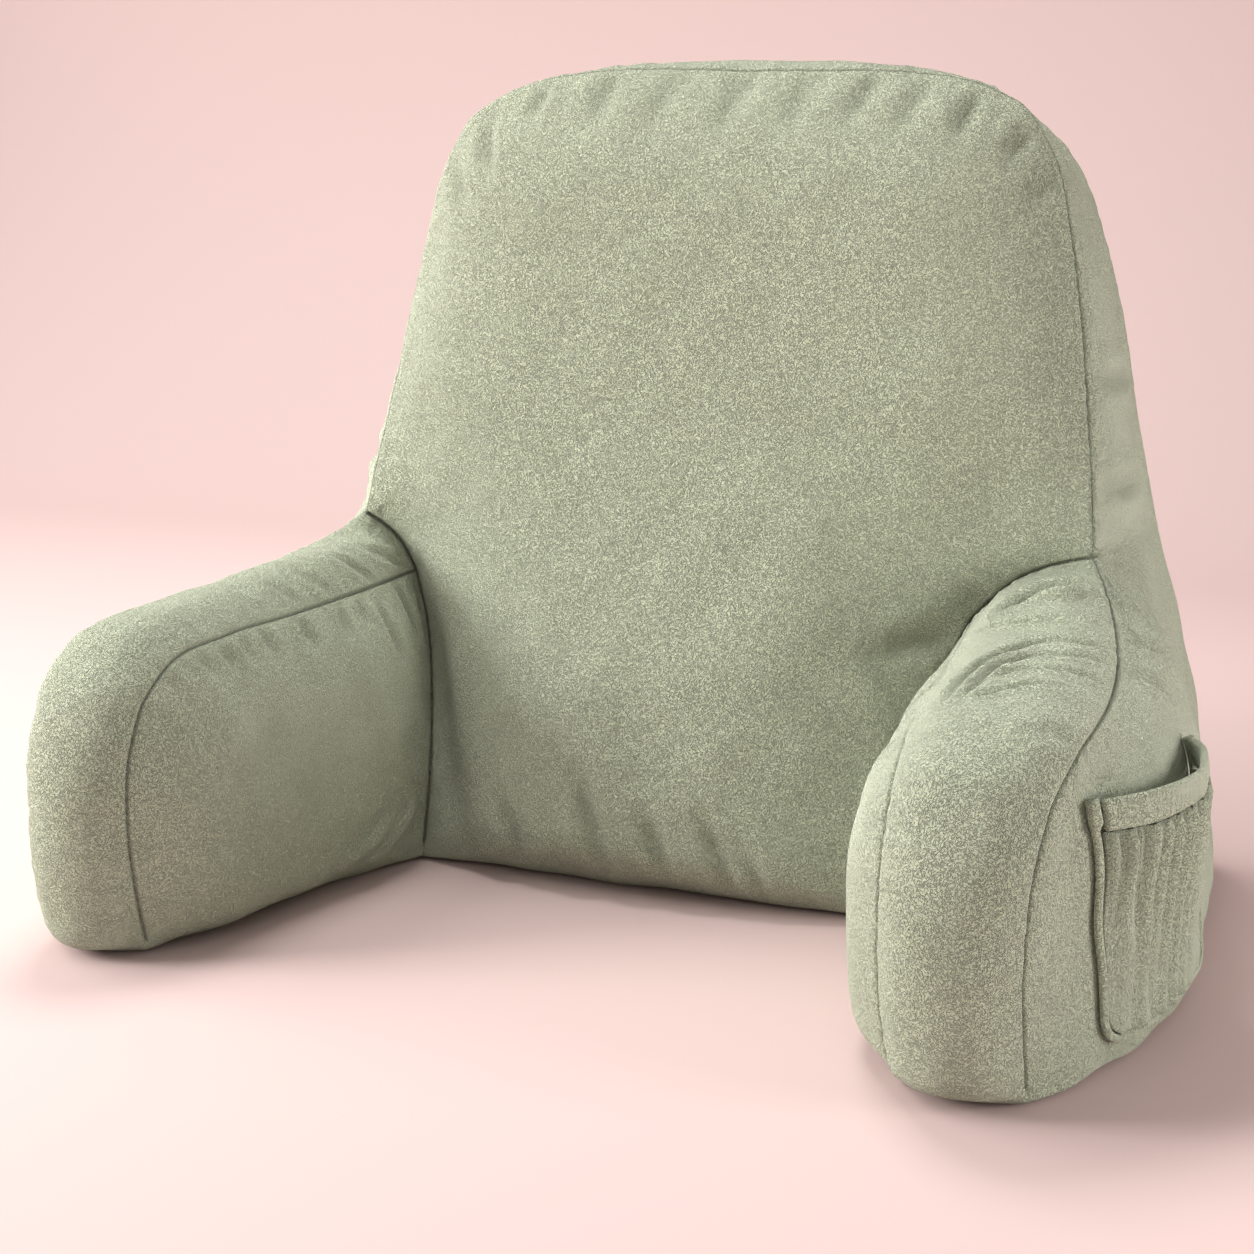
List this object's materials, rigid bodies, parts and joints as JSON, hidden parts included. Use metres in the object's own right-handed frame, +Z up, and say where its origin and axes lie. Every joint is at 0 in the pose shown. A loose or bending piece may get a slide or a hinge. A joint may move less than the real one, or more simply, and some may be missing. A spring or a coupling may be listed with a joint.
{
  "type": "reading pillow with arms",
  "caption": "Upright filled pillow with a rounded backrest, armrests sewn to its sides, and a gathered side pocket for things kept at hand.",
  "frame": {"origin": "on the surface it stands on, under the backrest, in the middle of its width", "axes": "+X to the right of someone who looks at its front, along its greatest width; -Y the way the arms reach, its front; +Z up"},
  "size_m": [0.6769, 0.504, 0.5162],
  "materials": {
    "plush": "short-pile plush",
    "pocket_plush": "short-pile plush, gathered"
  },
  "bodies": {
    "root": {"backrest": "plush", "arm_left": "plush", "arm_right": "plush", "pocket_panel": "pocket_plush", "pocket_band": "pocket_plush", "pocket_binding": "pocket_plush"}
  },
  "joints": []
}
